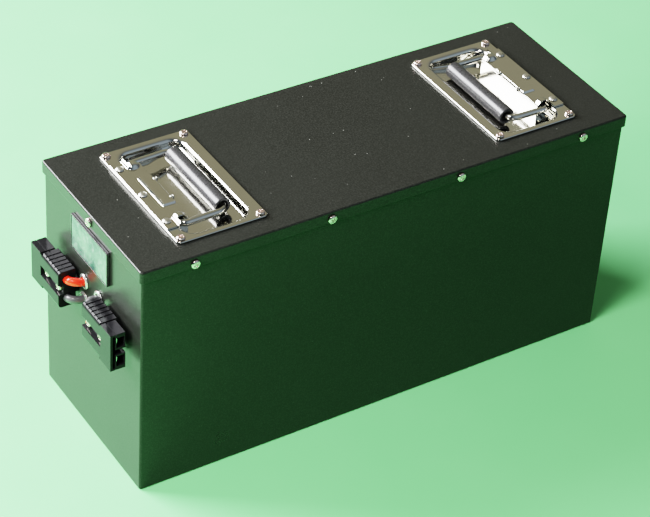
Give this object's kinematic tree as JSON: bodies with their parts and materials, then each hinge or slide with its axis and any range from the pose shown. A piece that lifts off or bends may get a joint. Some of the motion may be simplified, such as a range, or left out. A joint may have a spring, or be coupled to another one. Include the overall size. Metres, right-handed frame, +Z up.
{
  "type": "battery box",
  "caption": "Long sheet-steel battery box with a screwed-on lid, recessed sprung carrying handles, a panel meter and side-mounted two-pole power connectors.",
  "frame": {"origin": "centre of the case's underside", "axes": "+X along the length, away from the connector end; +Y across the width; +Z up"},
  "size_m": [0.4907, 0.1754, 0.2374],
  "materials": {
    "powder_coat": "satin",
    "plated_steel": "polished",
    "zinc_screw": "gloss",
    "spring_wire": "gloss",
    "grip_vinyl": "satin",
    "connector_plastic": "gloss",
    "contact_silver": "gloss",
    "red_insulation": "gloss",
    "black_insulation": "satin",
    "grommet": "satin",
    "meter_plastic": "gloss",
    "lcd_glass": "gloss",
    "cell_wrap": "satin",
    "board_cover": "satin"
  },
  "bodies": {
    "root": {"case_body": "powder_coat", "lid": "powder_coat", "lid_screw_front_1": "zinc_screw", "lid_screw_rear_1": "zinc_screw", "lid_screw_front_2": "zinc_screw", "lid_screw_rear_2": "zinc_screw", "lid_screw_front_3": "zinc_screw", "lid_screw_rear_3": "zinc_screw", "lid_screw_front_4": "zinc_screw", "lid_screw_rear_4": "zinc_screw", "lid_screw_left_end": "zinc_screw", "lid_screw_right_end": "zinc_screw", "left_handle_dish": "plated_steel", "left_handle_cover": "plated_steel", "left_handle_spring": "spring_wire", "left_handle_rivet_1": "plated_steel", "left_handle_rivet_2": "plated_steel", "left_handle_rivet_3": "plated_steel", "left_handle_screw_1": "zinc_screw", "left_handle_screw_2": "zinc_screw", "left_handle_screw_3": "zinc_screw", "left_handle_screw_4": "zinc_screw", "left_connector_housing": "connector_plastic", "left_connector_spacer": "connector_plastic", "left_connector_red_contact": "contact_silver", "left_connector_black_contact": "contact_silver", "left_connector_screw_1": "zinc_screw", "left_connector_screw_2": "zinc_screw", "left_red_lead": "red_insulation", "left_black_lead": "black_insulation", "left_red_grommet": "grommet", "left_black_grommet": "grommet", "right_handle_dish": "plated_steel", "right_handle_cover": "plated_steel", "right_handle_spring": "spring_wire", "right_handle_rivet_1": "plated_steel", "right_handle_rivet_2": "plated_steel", "right_handle_rivet_3": "plated_steel", "right_handle_screw_1": "zinc_screw", "right_handle_screw_2": "zinc_screw", "right_handle_screw_3": "zinc_screw", "right_handle_screw_4": "zinc_screw", "right_connector_housing": "connector_plastic", "right_connector_spacer": "connector_plastic", "right_connector_red_contact": "contact_silver", "right_connector_black_contact": "contact_silver", "right_connector_screw_1": "zinc_screw", "right_connector_screw_2": "zinc_screw", "right_red_lead": "red_insulation", "right_black_lead": "black_insulation", "right_red_grommet": "grommet", "right_black_grommet": "grommet", "meter_bezel": "meter_plastic", "meter_window": "lcd_glass", "cell_pack": "cell_wrap", "bms_board": "board_cover"},
    "left_bail": {"left_handle_bail": "plated_steel", "left_handle_grip": "grip_vinyl"},
    "right_bail": {"right_handle_bail": "plated_steel", "right_handle_grip": "grip_vinyl"}
  },
  "joints": [
    {"name": "left_handle_hinge", "type": "hinge", "parent": "root", "child": "left_bail", "pos_m": [-0.176, 0, 0.229], "axis": [0, -1, 0], "range_deg": [0, 90], "stiffness_Nm_per_rad": 0.12, "springref_deg": -28.65, "deforming": ["left_handle_spring"]},
    {"name": "right_handle_hinge", "type": "hinge", "parent": "root", "child": "right_bail", "pos_m": [0.1775, 0, 0.229], "axis": [0, 1, 0], "range_deg": [0, 90], "stiffness_Nm_per_rad": 0.12, "springref_deg": -28.65, "deforming": ["right_handle_spring"]}
  ]
}
